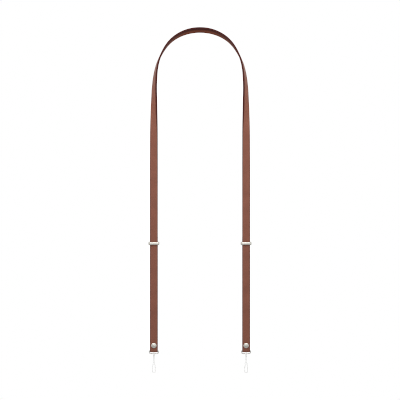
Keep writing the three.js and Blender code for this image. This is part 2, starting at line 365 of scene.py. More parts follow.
def lengths(points):
    """The length of a line up to each of its points."""
    totals = [0.0]
    for a, b in zip(points, points[1:]):
        totals.append(totals[-1] + (b - a).length)
    return totals


# Building node trees


def plug(tree, target, value):
    """Links a socket, or sets a plain value."""
    if isinstance(value, bpy.types.NodeSocket):
        tree.links.new(value, target)
    else:
        target.default_value = value


def add(tree, kind, inputs=None, **settings):
    """A node with its settings, and with its inputs linked or set by name or place."""
    node = tree.nodes.new(kind)
    for name, value in settings.items():
        setattr(node, name, value)
    for key, value in (inputs or {}).items():
        plug(tree, node.inputs[key], value)
    return node


def output(tree, kind, inputs=None, **settings):
    """The first output of a new node."""
    return add(tree, kind, inputs, **settings).outputs[0]


def maths(tree, operation, *values):
    """The result of a sum on single values."""
    return output(tree, "ShaderNodeMath", dict(enumerate(values)), operation=operation)


def times(tree, first, *others):
    """The product of single values."""
    for value in others:
        first = maths(tree, "MULTIPLY", first, value)
    return first


def remainder(tree, share):
    """What a share leaves of 1."""
    return maths(tree, "SUBTRACT", 1.0, share)


def size_of(tree, value):
    """A single value without its sign."""
    return maths(tree, "ABSOLUTE", value)


def between(tree, share, first, second):
    """The single value between two others."""
    return output(tree, "ShaderNodeMix", {"Factor": share, 2: first, 3: second})


def eased(tree, value, low, high):
    """Smooth step of a value, from 0 at low to 1 at high."""
    inputs = {"Value": value, "From Min": low, "From Max": high}
    return output(tree, "ShaderNodeMapRange", inputs, interpolation_type="SMOOTHSTEP")


def scaled(tree, vector, factor):
    """A vector times a single value."""
    return output(tree, "ShaderNodeVectorMath", {0: vector, "Scale": factor}, operation="SCALE")


def vector_of(tree, **values):
    """A vector with the given X, Y and Z."""
    return output(tree, "ShaderNodeCombineXYZ", values)


def parts(tree, vector):
    """The X, Y and Z of a vector."""
    return add(tree, "ShaderNodeSeparateXYZ", {0: vector}).outputs


def position(tree):
    """The place of each point."""
    return output(tree, "GeometryNodeInputPosition")


def read(tree, name, data_type="FLOAT"):
    """A named attribute of the geometry."""
    return output(tree, "GeometryNodeInputNamedAttribute", {"Name": name}, data_type=data_type)


def store(tree, geometry, name, data_type, value):
    """The geometry with a named attribute on its points."""
    inputs = {"Geometry": geometry, "Name": name, "Value": value}
    return output(tree, "GeometryNodeStoreNamedAttribute", inputs, data_type=data_type, domain="POINT")


def place(tree, geometry, spot):
    """The geometry with its points moved to a position."""
    return output(tree, "GeometryNodeSetPosition", {"Geometry": geometry, "Position": spot})


def circle(tree, points, radius):
    """A round section."""
    return output(tree, "GeometryNodeCurvePrimitiveCircle", {"Resolution": points, "Radius": radius})


def sweep(tree, rows, profile, caps):
    """A skin over a profile carried along rows, and where its points are on the section and across."""
    profile = store(tree, profile, "profile", "FLOAT_VECTOR", position(tree))
    path = output(tree, "GeometryNodeMeshToCurve", {"Mesh": rows})
    inputs = {"Curve": path, "Profile Curve": profile, "Fill Caps": caps}
    skin = output(tree, "GeometryNodeCurveToMesh", inputs)
    section = parts(tree, read(tree, "profile", "FLOAT_VECTOR"))
    aside = times(tree, section["X"], read(tree, "width"))
    outward = times(tree, section["Y"], read(tree, "thickness"))
    spot = read(tree, "centre", "FLOAT_VECTOR")
    for field, reach in (("across", aside), ("out", outward)):
        offset = scaled(tree, read(tree, field, "FLOAT_VECTOR"), reach)
        spot = output(tree, "ShaderNodeVectorMath", {0: spot, 1: offset}, operation="ADD")
    return place(tree, skin, spot), section, aside, outward


def laid_flat(tree, skin, aside, depth=0.0):
    """The skin with its own flat coordinates, which its material's pattern follows."""
    flat = vector_of(tree, X=aside, Y=read(tree, "along"), Z=depth)
    return store(tree, skin, "surface", "FLOAT_VECTOR", flat)


def strap_section(tree, given, half_width, half_thickness):
    """A bar with round edges and a crowned outer face."""
    inputs = {"Width": given["Width"], "Height": given["Thickness"]}
    bar = output(tree, "GeometryNodeCurvePrimitiveQuadrilateral", inputs)
    inputs = {"Curve": bar, "Count": EDGE_POINTS, "Radius": given["Edge Radius"]}
    bar = output(tree, "GeometryNodeFilletCurve", inputs, mode="POLY")
    bar = output(tree, "GeometryNodeResampleCurve", {"Curve": bar, "Count": SECTION_POINTS})
    point = parts(tree, position(tree))
    share = maths(tree, "POWER", maths(tree, "DIVIDE", point["X"], half_width), 2.0)
    swell = times(tree, given["Crown"], remainder(tree, share))
    face = maths(tree, "MAXIMUM", maths(tree, "DIVIDE", point["Y"], half_thickness), 0.0)
    high = maths(tree, "ADD", point["Y"], times(tree, face, swell))
    return place(tree, bar, vector_of(tree, X=point["X"], Y=high))


def edge_dye(tree, given, section, half_width, half_thickness):
    """How dark each point is coloured: dye on the edges and the tail's tip, and painted shade where the
    front edge's dark colour reaches further over the arch and onto the inner face.
    """
    from_edge = maths(tree, "SUBTRACT", half_width, size_of(tree, section["X"]))
    under = eased(tree, times(tree, section["Y"], -1.0), 0.0, half_thickness)
    height = parts(tree, position(tree))["Z"]
    # Painted shade: the front edge's dark colour reaches further over the top of the arch and onto the
    # inner face
    over = times(tree, given["Arch Dye"], eased(tree, height, ARCH_PAINTED_SHADE_START, ARCH_PAINTED_SHADE_FULL))
    painted_shade_reach = between(tree, under, over, given["Flesh Dye"])
    front = maths(tree, "GREATER_THAN", section["X"], 0.0)
    reach = maths(tree, "ADD", given["Edge Dye"], times(tree, painted_shade_reach, front))
    dye = remainder(tree, eased(tree, from_edge, times(tree, reach, DYE_CORE), reach))
    return maths(tree, "MAXIMUM", dye, read(tree, "tip"))


def dented(tree, skin, given, section, half_thickness):
    """The skin with its outer face pressed in round each stud."""
    here = parts(tree, position(tree))
    from_side = maths(tree, "SUBTRACT", size_of(tree, here["X"]), given["Stud Aside"])
    from_height = maths(tree, "SUBTRACT", here["Z"], given["Stud Height"])
    away = vector_of(tree, X=from_side, Z=from_height)
    reach = add(tree, "ShaderNodeVectorMath", {0: away}, operation="LENGTH").outputs["Value"]
    full = times(tree, given["Stud Radius"], DENT_FULL)
    end = times(tree, given["Stud Radius"], DENT_END)
    near = remainder(tree, eased(tree, reach, full, end))
    outer = eased(tree, section["Y"], 0.0, half_thickness)
    sink = times(tree, near, outer, given["Dent"], -1.0)
    inward = scaled(tree, read(tree, "out", "FLOAT_VECTOR"), sink)
    return output(tree, "GeometryNodeSetPosition", {"Geometry": skin, "Offset": inward})


def drilled(tree, skin, given):
    """The skin with a post hole through both layers of each end."""
    inputs = {"Vertices": DRILL_SIDES, "Radius": given["Hole Radius"], "Depth": DRILL_LENGTH}
    drill = output(tree, "GeometryNodeMeshCylinder", inputs)
    holes = tree.nodes.new("GeometryNodeJoinGeometry")
    for side in SIDES.values():
        x = times(tree, given["Stud Aside"], float(side))
        spot = vector_of(tree, X=x, Y=given["Stud Depth"], Z=given["Stud Height"])
        inputs = {"Geometry": drill, "Translation": spot, "Rotation": (math.pi / 2, 0, 0)}
        tree.links.new(output(tree, "GeometryNodeTransform", inputs), holes.inputs["Geometry"])
    inputs = {"Mesh 1": skin, "Mesh 2": holes.outputs["Geometry"]}
    return output(tree, "GeometryNodeMeshBoolean", inputs, operation="DIFFERENCE", solver="MANIFOLD")


def strap_sweep(tree, given):
    """A crowned bar with round, dyed edges and painted shade by its front edge, dented round each stud
    and drilled for its post.
    """
    halves = times(tree, given["Width"], 0.5), times(tree, given["Thickness"], 0.5)
    bar = strap_section(tree, given, *halves)
    skin, section, aside, outward = sweep(tree, given["Geometry"], bar, True)
    skin = laid_flat(tree, skin, aside, outward)
    skin = store(tree, skin, "edge", "FLOAT", edge_dye(tree, given, section, *halves))
    return drilled(tree, dented(tree, skin, given, section, halves[1]), given)


def keeper_band(tree, given):
    """A band with a flat inside and a domed outside."""
    point = parts(tree, position(tree))
    dome = maths(tree, "POWER", maths(tree, "MAXIMUM", point["Y"], 0.0), KEEPER_DOME)
    square = maths(tree, "POWER", size_of(tree, point["X"]), KEEPER_SQUARE)
    up = times(tree, maths(tree, "SIGN", point["X"]), square, given["Height"], 0.5)
    section = vector_of(tree, X=up, Y=times(tree, dome, given["Wall"]))
    band = place(tree, circle(tree, KEEPER_POINTS, 1.0), section)
    return sweep(tree, given["Geometry"], band, False)[0]


def wire(tree, given):
    """A round wire."""
    return sweep(tree, given["Geometry"], circle(tree, ROUND_POINTS, given["Radius"]), False)[0]


def laid_string(tree, given):
    """A string of laid yarns: a lobed section that turns along its rows."""
    here = position(tree)
    point = parts(tree, here)
    angle = maths(tree, "ARCTAN2", point["Y"], point["X"])
    wave = maths(tree, "COSINE", times(tree, angle, times(tree, given["Plies"], 0.5)))
    depth = times(tree, given["Groove"], remainder(tree, size_of(tree, wave)))
    lobes = scaled(tree, here, remainder(tree, depth))
    yarns = place(tree, circle(tree, ROUND_POINTS, given["Radius"]), lobes)
    skin, section, _, _ = sweep(tree, given["Geometry"], yarns, True)
    around = maths(tree, "ARCTAN2", section["Y"], section["X"])
    return laid_flat(tree, skin, times(tree, around, given["Radius"]))


def new_tree(make, sizes):
    """A geometry tree round a sweep, with rows, named sizes and a material as its inputs."""
    tree = bpy.data.node_groups.new(make.__name__, "GeometryNodeTree")
    kinds = {"Geometry": "Geometry", **dict.fromkeys(sizes, "Float"), "Material": "Material"}
    for name, kind in kinds.items():
        tree.interface.new_socket(name, in_out="INPUT", socket_type=f"NodeSocket{kind}")
    tree.interface.new_socket("Geometry", in_out="OUTPUT", socket_type="NodeSocketGeometry")
    given = tree.nodes.new("NodeGroupInput").outputs
    skin = output(tree, "GeometryNodeSetShadeSmooth", {"Geometry": make(tree, given)})
    skin = output(tree, "GeometryNodeRealizeInstances", {"Geometry": skin})
    skin = output(tree, "GeometryNodeSetMaterial", {"Geometry": skin, "Material": given["Material"]})
    add(tree, "NodeGroupOutput", {"Geometry": skin})
    return tree


# Making meshes


def linked(name, data):
    """A new object in the scene."""
    piece = bpy.data.objects.new(name, data)
    bpy.context.scene.collection.objects.link(piece)
    return piece


def row_object(name, rows, closed=False):
    """A line of points that carries each row's place, directions and sizes."""
    edges = [(i, i + 1) for i in range(len(rows) - 1)]
    if closed:
        edges.append((len(rows) - 1, 0))
    mesh = bpy.data.meshes.new(name)
    mesh.from_pydata([row.centre for row in rows], edges, [])
    for field in VECTOR_FIELDS:
        values = [x for row in rows for x in getattr(row, field)]
        mesh.attributes.new(field, "FLOAT_VECTOR", "POINT").data.foreach_set("vector", values)
    for field in NUMBER_FIELDS:
        values = [getattr(row, field) for row in rows]
        mesh.attributes.new(field, "FLOAT", "POINT").data.foreach_set("value", values)
    return linked(name, mesh)


def bake(piece, make, sizes, material):
    """Runs a sweep's tree on the piece's rows and keeps the result as the piece's plain mesh."""
    modifier = piece.modifiers.new("Rows", "NODES")
    modifier.node_group = bpy.data.node_groups.get(make.__name__) or new_tree(make, sizes)
    for item in modifier.node_group.interface.items_tree:
        if item.in_out == "INPUT" and item.name in sizes:
            modifier[item.identifier] = float(sizes[item.name])
        elif item.in_out == "INPUT" and item.name == "Material":
            modifier[item.identifier] = material
    bpy.context.view_layer.update()
    graph = bpy.context.evaluated_depsgraph_get()
    made = bpy.data.meshes.new_from_object(
        piece.evaluated_get(graph), preserve_all_data_layers=True, depsgraph=graph)
    if not made.polygons:
        raise RuntimeError(f"{piece.name} came out empty")
    piece.modifiers.remove(modifier)
    piece.data = made
    for name in (*VECTOR_FIELDS, *NUMBER_FIELDS, "profile"):
        if name in made.attributes:
            made.attributes.remove(made.attributes[name])
    face_outwards(made)
    return piece


def face_outwards(mesh):
    """Turns a closed mesh's faces outwards."""
    shape = bmesh.new()
    shape.from_mesh(mesh)
    if shape.calc_volume(signed=True) < 0:
        bmesh.ops.reverse_faces(shape, faces=shape.faces)
    shape.to_mesh(mesh)
    shape.free()


def joined(name, pieces):
    """Several pieces as one object."""
    with bpy.context.temp_override(active_object=pieces[0], selected_editable_objects=pieces):
        bpy.ops.object.join()
    pieces[0].name = name
    return pieces[0]


def turned(name, profile, centre, axis, around, material):
    """A closed turned piece: a profile of radius and height along an axis, from pole to pole."""
    other = axis.cross(around)
    angles = [2 * math.pi * i / STUD_SIDES for i in range(STUD_SIDES)]
    shape = bmesh.new()
    rings = []
    for radius, height in profile:
        spot = centre + axis * height
        if radius == 0:
            rings.append([shape.verts.new(spot)])
            continue
        rings.append([shape.verts.new(spot + radius * (around * math.cos(a) + other * math.sin(a)))
                      for a in angles])
    for low, high in zip(rings, rings[1:]):
        for i in range(STUD_SIDES):
            j = (i + 1) % STUD_SIDES
            corners = [low[i % len(low)], low[j % len(low)], high[j % len(high)], high[i % len(high)]]
            shape.faces.new(list(dict.fromkeys(corners)))
    bmesh.ops.recalc_face_normals(shape, faces=shape.faces)
    mesh = bpy.data.meshes.new(name)
    shape.to_mesh(mesh)
    shape.free()
    mesh.shade_smooth()
    mesh.materials.append(material)
    return linked(name, mesh)


def dress(piece, body, node):
    """Puts a finished piece on its body in place of a CAD node."""
    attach(piece, body)
    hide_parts(node)


# Materials


def grey(level):
    """A grey with its alpha."""
    return (level, level, level, 1)


def new_material(name, **sockets):
    """A material with a Principled shader, and with its uniform sockets set."""
    material = bpy.data.materials.new(name)
    material.use_nodes = True
    shader = material.node_tree.nodes["Principled BSDF"]
    for key, value in sockets.items():
        shader.inputs[key.replace("_", " ")].default_value = value
    return material, material.node_tree, shader.inputs


def carried(tree, name, kind):
    """An attribute that the mesh carries."""
    return add(tree, "ShaderNodeAttribute", attribute_name=name).outputs[kind]


def object_place(tree):
    """The place on the object."""
    return add(tree, "ShaderNodeTexCoord").outputs["Object"]


def noise(tree, vector, scale, detail):
    """Smooth noise from 0 to 1."""
    return output(tree, "ShaderNodeTexNoise", {"Vector": vector, "Scale": scale, "Detail": detail})


def stretched(tree, vector, scale):
    """A pattern's coordinates with each direction scaled."""
    return output(tree, "ShaderNodeMapping", {"Vector": vector, "Scale": scale})


def spread(tree, value, low, high):
    """Noise brought from its usual range to low and high."""
    inputs = {"Value": value, "From Min": 0.25, "From Max": 0.75, "To Min": low, "To Max": high}
    return output(tree, "ShaderNodeMapRange", inputs)


def blend_colour(tree, share, first, second, blend="MIX"):
    """Two colours mixed by a share."""
    inputs = {"Factor": share, 6: first, 7: second}
    return add(tree, "ShaderNodeMix", inputs, data_type="RGBA", blend_type=blend).outputs[2]


def toned(tree, colour, value):
    """A colour made lighter or darker by a single value."""
    level = output(tree, "ShaderNodeCombineColor", {0: value, 1: value, 2: value})
    return blend_colour(tree, 1.0, colour, level, "MULTIPLY")


def bumped(tree, shader, height, strength, distance):
    """Gives the shader a relief."""
    inputs = {"Strength": strength, "Distance": distance, "Height": height}
    plug(tree, shader["Normal"], output(tree, "ShaderNodeBump", inputs))


def leather_material(name, strap):
    """Pebbled leather with a napped flesh side and dark burnished edges, with painted shade in the
    grain's creases and, in the edges' colour, by the front edge over the arch and on the inner face.
    """
    material, tree, shader = new_material(name, Specular_IOR_Level=0.18)
    flat = carried(tree, "surface", "Vector")
    edge = carried(tree, "edge", "Fac")
    outer = eased(tree, parts(tree, flat)["Z"], -0.3 * strap.thickness, 0.1 * strap.thickness)
    flesh = remainder(tree, outer)
    inputs = {"Vector": flat, "Scale": 1 / strap.grain, "Smoothness": 0.6}
    cells = output(tree, "ShaderNodeTexVoronoi", inputs, feature="SMOOTH_F1")

    face = blend_colour(tree, flesh, (*strap.colour, 1), (*strap.flesh_colour, 1))
    clouds = spread(tree, noise(tree, flat, scale=70.0, detail=4.0), 0.9, 1.1)
    flecks = spread(tree, noise(tree, flat, scale=1.3 / strap.grain, detail=3.0), 0.93, 1.07)
    # Painted shade: the grain side is darkened along the creases between its pebbles
    painted_crease_shade = times(tree, eased(tree, cells, 0.3, 0.65), outer, 0.16)
    face = toned(tree, face, times(tree, clouds, flecks, remainder(tree, painted_crease_shade)))
    worn = spread(tree, noise(tree, flat, scale=260.0, detail=3.0), 0.86, 1.0)
    rim = toned(tree, (*strap.edge_colour, 1), worn)
    # The edge mask holds the dye on the edges and tip and the painted shade by the front edge
    plug(tree, shader["Base Color"], blend_colour(tree, edge, face, rim))

    polish = spread(tree, noise(tree, flat, scale=420.0, detail=3.0), 0.34, 0.46)
    dull = times(tree, maths(tree, "MAXIMUM", flesh, edge), 0.3)
    plug(tree, shader["Roughness"], maths(tree, "ADD", polish, dull))

    pebbles = times(tree, remainder(tree, cells), 0.7)
    pores = times(tree, noise(tree, flat, scale=3.2 / strap.grain, detail=3.0), 0.3)
    nap = noise(tree, stretched(tree, flat, (1.0, 0.35, 1.0)), scale=4.0 / strap.grain, detail=4.0)
    relief = between(tree, flesh, maths(tree, "ADD", pebbles, pores), nap)
    calm = times(tree, relief, remainder(tree, times(tree, edge, 0.85)))
    bumped(tree, shader, calm, strength=0.7, distance=0.12 * MM)
    return material


def nickel_material(name, colour, roughness):
    """Polished nickel with faint hairlines and handling marks."""
    material, tree, shader = new_material(name, Metallic=1.0)
    here = object_place(tree)
    cast = spread(tree, noise(tree, here, scale=320.0, detail=3.0), 0.96, 1.03)
    plug(tree, shader["Base Color"], toned(tree, (*colour, 1), cast))
    haze = noise(tree, here, scale=900.0, detail=4.0)
    plug(tree, shader["Roughness"], spread(tree, haze, roughness - 0.05, roughness + 0.07))
    hairlines = noise(tree, stretched(tree, here, (0.12, 1.0, 1.0)), scale=9000.0, detail=2.0)
    bumped(tree, shader, hairlines, strength=0.05, distance=0.01 * MM)
    return material


def nylon_material(name, colour):
    """White nylon yarn with fine fibres along its lay."""
    material, tree, shader = new_material(name, Roughness=0.5)
    flat = carried(tree, "surface", "Vector")
    fibres = noise(tree, stretched(tree, flat, (1.0, 0.18, 1.0)), scale=9000.0, detail=3.0)
    plug(tree, shader["Base Color"], toned(tree, (*colour, 1), spread(tree, fibres, 0.94, 1.02)))
    bumped(tree, shader, fibres, strength=0.3, distance=0.03 * MM)
    return material


def paper_material(name):
    """Pale paper."""
    material, tree, shader = new_material(
        name, Roughness=0.9, Specular_IOR_Level=0.1, Emission_Color=grey(1), Emission_Strength=0.25)
    fibres = spread(tree, noise(tree, object_place(tree), scale=30.0, detail=4.0), 0.97, 1.0)
    plug(tree, shader["Base Color"], toned(tree, grey(0.95), fibres))
    return material


def material_named(name, make, *settings):
    """The material of that name, made on first use."""
    return bpy.data.materials.get(name) or make(name, *settings)


# The strap's rows


def turn_at(along):
    """How far the path has turned from level at a length from the top of the arch."""
    bend = math.pi / (ARCH_EASE_START + ARCH_EASE_END)
    span = ARCH_EASE_END - ARCH_EASE_START
    share = min(max((along - ARCH_EASE_START) / span, 0), 1)
    return bend * (min(along, ARCH_EASE_START) + span * (share - share ** 3 + share ** 4 / 2))


def arch_directions(along):
    """The left half's directions at a length from the top of the arch: along, outward and across."""
    turn = turn_at(along)
    lean = LEAN * (1 - smooth(along, LEAN_START, LEAN_END))
    upright = Vector((0, math.sin(lean), math.cos(lean)))
    tangent = -upright * math.sin(turn) - RIGHT * math.cos(turn)
    out = upright * math.cos(turn) - RIGHT * math.sin(turn)
    return tangent, out, Vector((0, -math.cos(lean), math.sin(lean)))


def arch_row(centre, along):
    """A row of the arch, with its twist and with the set that the leather has taken there."""
    _, path_out, path_across = arch_directions(along)
    twist = math.pi / 2 * smooth(along, TWIST_START, TWIST_END)
    for taken in LEATHER_SETS:
        half = (taken.start + taken.end) / 2
        share = smooth(along, taken.start, half) * (1 - smooth(along, half, taken.end))
        twist += taken.turn * share
        centre = centre - path_out * taken.inside * share
    out = path_out * math.cos(twist) + path_across * math.sin(twist)
    across = path_across * math.cos(twist) - path_out * math.sin(twist)
    return Row(centre, out, across, 1, 1, 0, 0)


def arch_rows(strap):
    """The left half of the arch, from its top to where the leg faces the front."""
    step = TWIST_END / (ARCH_ROWS * PATH_STEPS)
    centre = arch_directions(0)[1] * strap.thickness / 2
    rows = []
    for i in range(ARCH_ROWS * PATH_STEPS + 1):
        if i % PATH_STEPS == 0:
            rows.append(arch_row(centre, i * step))
        centre = centre + arch_directions((i + 0.5) * step)[0] * step
    return rows


def leg_heights(top, bottom, stud_height):
    """Heights down a leg to just above its bottom, close together where the stud dents it."""
    high, low = stud_height + STUD_ZONE, stud_height - STUD_ZONE
    heights = [*steps(top, high, LEG_STEP), *steps(high, max(low, bottom), STUD_STEP)]
    return [z for z in heights if z > bottom]


def end_rows(strap, leg):
    """The left leg below the arch, its fold round the ring's bar, and the tail behind it."""
    stud_height = middle("stud_left").z
    bar = ring_bar("left")
    fold_radius = bar.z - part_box("strap")[0].z
    front_face = leg.y - strap.thickness / 2
    back_face = 2 * middle("keeper_left").y - front_face
    pinch_top = bar.z + PINCH_HEIGHT
    tail_thickness = back_face - front_face - strap.thickness - strap.layer_gap
    shoulder = middle("keeper_left").z + TAIL_PAST_KEEPER - TIP_LENGTH

    def row(y, z, out, thickness, width=1.0, tip=0.0):
        return Row(Vector((leg.x, y, z)), out, RIGHT, width, thickness / strap.thickness, 0, tip)

    def leg_row(z):
        thickness = mix(strap.fold_thickness, strap.thickness, smooth(z, bar.z, pinch_top))
        return row(front_face + thickness / 2, z, FRONT, thickness)

    def fold_row(i):
        angle = math.pi * i / FOLD_ROWS
        out = Vector((0, -math.cos(angle), -math.sin(angle)))
        centre = bar + out * (fold_radius - strap.fold_thickness / 2)
        return row(centre.y, centre.z, out, strap.fold_thickness)

    def tail_row(z, width=1.0, tip=0.0):
        share = smooth(z, bar.z, pinch_top)
        thickness = mix(strap.fold_thickness, tail_thickness, share)
        face = mix(front_face + 2 * fold_radius, back_face, share)
        return row(face - thickness / 2, z, BACK, thickness, width, tip)

    def tip_row(i):
        angle = mix(math.pi / 2, math.asin(TIP_SHARE), i / TIP_ROWS)
        dye = smooth(i, TIP_ROWS - TIP_DYED_ROWS, TIP_ROWS)
        return tail_row(shoulder + TIP_LENGTH * math.cos(angle), math.sin(angle), dye)

    pinch = steps(bar.z, pinch_top, PINCH_HEIGHT / PINCH_ROWS)
    down = [*leg_heights(leg.z, pinch_top, stud_height)[1:], pinch_top, *pinch[:0:-1]]
    up = [*pinch[1:], *reversed(leg_heights(shoulder, pinch_top, stud_height))]
    fold, tip = range(FOLD_ROWS + 1), range(1, TIP_ROWS + 1)
    return [*map(leg_row, down), *map(fold_row, fold), *map(tail_row, up), *map(tip_row, tip)]


def mirrored(row):
    """A row of the left half as the right half's."""
    flip = Vector((-1, 1, 1))
    return row._replace(centre=row.centre * flip, out=row.out * flip, across=row.across * flip)


def strap_rows(strap):
    """The whole strap, from the right tail's tip over the arch to the left tail's tip."""
    arch = arch_rows(strap)
    left = [*arch, *end_rows(strap, arch[-1].centre)]
    rows = [*map(mirrored, reversed(left[1:])), *left]
    totals = lengths([row.centre for row in rows])
    return [row._replace(along=total) for row, total in zip(rows, totals)]


# Rows of the fittings and strings


def ring_bar(side):
    """The middle of a ring's upper bar."""
    low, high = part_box(f"ring_{side}")
    centre = (low + high) / 2
    return Vector((centre.x, centre.y, high.z - (high.y - low.y) / 2))


def lower_bar(side, radius):
    """The middle of a ring's lower bar."""
    centre = middle(f"ring_{side}")
    return Vector((centre.x, centre.y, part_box(f"ring_{side}")[0].z + radius))


def rounded_rows(low, high, up, inset, corners):
    """Rows round a box, set in from its sides and facing outwards, with round upper and lower corners."""
    size = high - low
    width, height = size.dot(RIGHT) - 2 * inset, size.dot(up) - 2 * inset
    rows = []
    for quarter in range(4):
        corner = corners[0] if quarter < 2 else corners[1]
        side = 1 if quarter in (0, 3) else -1
        rise = 1 if quarter < 2 else -1
        bend = (low + high) / 2 + RIGHT * side * (width / 2 - corner) + up * rise * (height / 2 - corner)
        for i in range(BEND_ROWS + 1):
            angle = math.pi / 2 * (quarter + i / BEND_ROWS)
            out = RIGHT * math.cos(angle) + up * math.sin(angle)
            rows.append(Row(bend + out * corner, out, RIGHT.cross(up), 1, 1, 0, 0))
    return rows


def laid_rows(points, lay):
    """Rows along a line of points, turning once for each lay."""
    rows = []
    normal = (points[1] - points[0]).normalized().orthogonal().normalized()
    for i, (point, along) in enumerate(zip(points, lengths(points))):
        ahead = points[min(i + 1, len(points) - 1)] - points[max(i - 1, 0)]
        tangent = ahead.normalized()
        normal = (normal - tangent * normal.dot(tangent)).normalized()
        other = tangent.cross(normal)
        angle = 2 * math.pi * along / lay
        out = normal * math.cos(angle) + other * math.sin(angle)
        rows.append(Row(point, out, out.cross(tangent), 1, 1, along, 0))
    return rows


def string_line(bar):
    """The string's line, down one side of the loop and up the other."""
    down = [bar + Vector((-out, 0, -below)) * MM for out, below in STRING_ROUTE]
    up = [bar + Vector((out, 0, -below)) * MM for out, below in reversed(STRING_ROUTE[:-1])]
    return spline([*down, *up], STRING_STEPS)


def eye_line(bar):
    """The eye's line, up the front of the ring's lower bar and down its back."""
    front = [bar + Vector(point) * MM for point in EYE_ROUTE]
    back = [bar + Vector((-x, -y, z)) * MM for x, y, z in reversed(EYE_ROUTE[:-1])]
    return spline([*front, *back], EYE_STEPS)


def whipping_line(low, high, turns):
    """A helix round the two strands of the knot."""
    count = round(turns * WHIPPING_POINTS)
    line = []
    for i in range(count + 1):
        angle = 2 * math.pi * turns * i / count
        reach = Vector((KNOT_HALF_WIDTH * math.cos(angle), KNOT_HALF_DEPTH * math.sin(angle), 0))
        line.append(mix(low, high, i / count) + reach)
    return line


# The stud's profile


def cap(radius, seat, crown, rim):
    """Radius and depth of a domed cap from its crown to its seat, with a rolled edge."""
    way = 1 if crown > seat else -1
    dome = abs(crown - seat) - rim
    profile = [(0, crown)]
    for i in range(1, DOME_ROWS + 1):
        angle = math.pi / 2 * i / DOME_ROWS
        profile.append((radius * math.sin(angle), seat + way * (rim + dome * math.cos(angle))))
    for i in range(1, ROLL_ROWS + 1):
        angle = math.pi / 2 * i / ROLL_ROWS
        inset, rise = STUD_ROLL * (1 - math.cos(angle)), STUD_ROLL * (1 - math.sin(angle))
        profile.append((radius - inset, seat + way * rise))
    return profile


def stud_profile(fittings, strap, low, high):
    """Radius and depth of the stud, from the front crown to the back crown."""
    centre = middle("keeper_left").y
    half = strap.thickness + CLAMP_SLACK
    front_seat = centre - half + strap.dent
    back_seat = centre + half - strap.dent
    front = cap((high.x - low.x) / 2, front_seat, low.y, fittings.stud_rim)
    back = cap(fittings.stud_back_radius, back_seat, high.y, fittings.stud_back_rim)
    post = fittings.stud_post_radius
    return [*front, (post, front_seat), (post, back_seat), *reversed(back)]


# Operators


class LANYARD_OT_stage(bpy.types.Operator):
    """Make the camera, the soft studio light and the pale floor"""

    bl_idname = "lanyard.stage"
    bl_label = "Stage"

    def execute(self, context):
        stage = context.scene.lanyard_stage
        self.make_camera(context.scene, stage)
        self.make_world(context.scene, stage)
        self.make_light("key", KEY_PLACE, KEY_SIZE, stage.key_power)
        self.make_light("strip", STRIP_PLACE, STRIP_SIZE, stage.strip_power)
        self.make_floor(stage)
        context.scene.view_settings.view_transform = "Standard"
        context.scene.cycles.pixel_filter_type = "BOX"
        return {"FINISHED"}

    def make_camera(self, scene, stage):
        data = bpy.data.cameras.new("camera")
        data.lens = data.sensor_width * stage.distance / stage.span
        data.clip_end = VIEW_REACH
        camera = linked("camera", data)
        camera.location = (0, middle("keeper_left").y - stage.distance, stage.height)
        camera.rotation_euler = (math.pi / 2, 0, 0)
        scene.camera = camera

    def make_world(self, scene, stage):
        """Graded surroundings with white cards and a white backdrop, and plain white for the camera."""
        world = bpy.data.worlds.new("studio")
        world.use_nodes = True
        scene.world = world
        tree = world.node_tree
        tree.nodes.clear()
        way = parts(tree, output(tree, "ShaderNodeTexCoord"))
        ramp = add(tree, "ShaderNodeValToRGB", {"Fac": maths(tree, "MULTIPLY_ADD", way["Z"], 0.5, 0.5)})
        stops = ramp.color_ramp.elements
        stops[0].color = grey(stage.ground)
        stops[1].color = grey(stage.sky)
        stops.new(0.5).color = grey(stage.horizon)
        aside = eased(tree, size_of(tree, way["X"]), *CARDS_ASIDE)
        level = remainder(tree, eased(tree, size_of(tree, way["Z"]), *CARDS_HIGH))
        cards = times(tree, aside, level)
        colour = blend_colour(tree, cards, ramp.outputs["Color"], grey(stage.sides))
        behind = eased(tree, way["Y"], *BACKDROP_BACK)
        colour = blend_colour(tree, behind, colour, grey(stage.backdrop))
        around = output(tree, "ShaderNodeBackground", {"Color": colour})
        white = output(tree, "ShaderNodeBackground", {"Color": grey(1)})
        seen = add(tree, "ShaderNodeLightPath").outputs["Is Camera Ray"]
        both = output(tree, "ShaderNodeMixShader", {0: seen, 1: around, 2: white})
        add(tree, "ShaderNodeOutputWorld", {"Surface": both})

    def make_light(self, name, spot, size, power):
        data = bpy.data.lights.new(name, "AREA")
        data.shape = "RECTANGLE"
        data.size, data.size_y = size
        data.energy = power
        light = linked(name, data)
        light.location = spot
        aim = Vector((0, middle("keeper_left").y, LIGHT_AIM)) - spot
        light.rotation_euler = aim.to_track_quat("-Z", "Y").to_euler()

    def make_floor(self, stage):
        shape = bmesh.new()
        bmesh.ops.create_circle(shape, cap_ends=True, segments=FLOOR_SIDES, radius=FLOOR_RADIUS)
        mesh = bpy.data.meshes.new("floor")
        shape.to_mesh(mesh)
        shape.free()
        mesh.transform(Matrix.Translation((0, 0, CAD_BOX[0].z - stage.floor_drop)))
        mesh.materials.append(material_named("pale_paper", paper_material))
        floor = linked("floor", mesh)
        floor.visible_glossy = False
        floor.visible_diffuse = False


